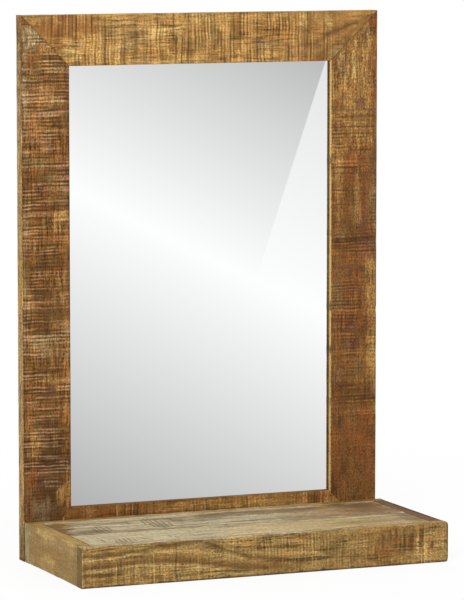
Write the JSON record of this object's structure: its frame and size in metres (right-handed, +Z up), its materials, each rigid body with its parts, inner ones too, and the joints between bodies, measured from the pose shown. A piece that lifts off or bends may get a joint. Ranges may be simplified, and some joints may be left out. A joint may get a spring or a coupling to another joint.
{
  "type": "mirror with shelf",
  "caption": "Wall mirror in a mitred frame of rough-sawn mango boards, with a thick hollow box shelf across its foot and turn buttons that hold the glass.",
  "frame": {"origin": "middle of the frame's bottom edge, in the plane of the wall (the back of the frame)", "axes": "+X to the right as the mirror is looked at, +Y into the wall, +Z up"},
  "size_m": [0.506, 0.23, 0.705],
  "materials": {
    "frame_mango": "rough-sawn mango, clear matt wax, warm brown",
    "shelf_mango": "rough-sawn mango, clear matt wax, golden brown",
    "pale_mango": "mango sapwood, planed, clear matt wax, pale olive to grey-brown",
    "inner_wood": "planed, bare",
    "silvered_glass": "clear float glass, silvered at the back",
    "block_rubber": "black rubber",
    "backing_board": "brown fibreboard, smooth",
    "zinc_steel": "zinc-plated steel"
  },
  "bodies": {
    "frame": {"left_stile": "frame_mango", "right_stile": "frame_mango", "top_rail": "frame_mango", "bottom_rail": "frame_mango", "mitre_dowels": "inner_wood", "mirror_glass": "silvered_glass", "glass_blocks": "block_rubber", "back_panel": "backing_board", "left_hanger": "zinc_steel", "right_hanger": "zinc_steel", "hanger_screws": "zinc_steel", "button_screws": "zinc_steel", "shelf_front_board": "shelf_mango", "shelf_back_board": "shelf_mango", "shelf_left_end": "shelf_mango", "shelf_right_end": "shelf_mango", "shelf_rear_plank": "pale_mango", "shelf_front_plank": "pale_mango", "shelf_bottom_board": "inner_wood", "shelf_corner_blocks": "inner_wood", "shelf_rib": "inner_wood", "shelf_dowels": "inner_wood", "shelf_screws": "zinc_steel", "bottom_board_screws": "zinc_steel"},
    "left_upper_button": {"left_upper_button": "zinc_steel"},
    "left_lower_button": {"left_lower_button": "zinc_steel"},
    "right_upper_button": {"right_upper_button": "zinc_steel"},
    "right_lower_button": {"right_lower_button": "zinc_steel"},
    "top_button": {"top_button": "zinc_steel"},
    "bottom_button": {"bottom_button": "zinc_steel"}
  },
  "joints": [
    {"name": "left_upper_turn", "type": "hinge", "parent": "frame", "child": "left_upper_button", "pos_m": [-0.2025, -0.006, 0.509], "axis": [0, 1, 0], "range_deg": [-90, 90]},
    {"name": "left_lower_turn", "type": "hinge", "parent": "frame", "child": "left_lower_button", "pos_m": [-0.2025, -0.006, 0.1975], "axis": [0, 1, 0], "range_deg": [-90, 90]},
    {"name": "right_upper_turn", "type": "hinge", "parent": "frame", "child": "right_upper_button", "pos_m": [0.1995, -0.006, 0.509], "axis": [0, 1, 0], "range_deg": [-90, 90]},
    {"name": "right_lower_turn", "type": "hinge", "parent": "frame", "child": "right_lower_button", "pos_m": [0.1995, -0.006, 0.1975], "axis": [0, 1, 0], "range_deg": [-90, 90]},
    {"name": "top_turn", "type": "hinge", "parent": "frame", "child": "top_button", "pos_m": [-0.0015, -0.006, 0.657], "axis": [0, 1, 0], "range_deg": [-90, 90]},
    {"name": "bottom_turn", "type": "hinge", "parent": "frame", "child": "bottom_button", "pos_m": [-0.0015, -0.006, 0.0495], "axis": [0, 1, 0], "range_deg": [-90, 90]}
  ]
}
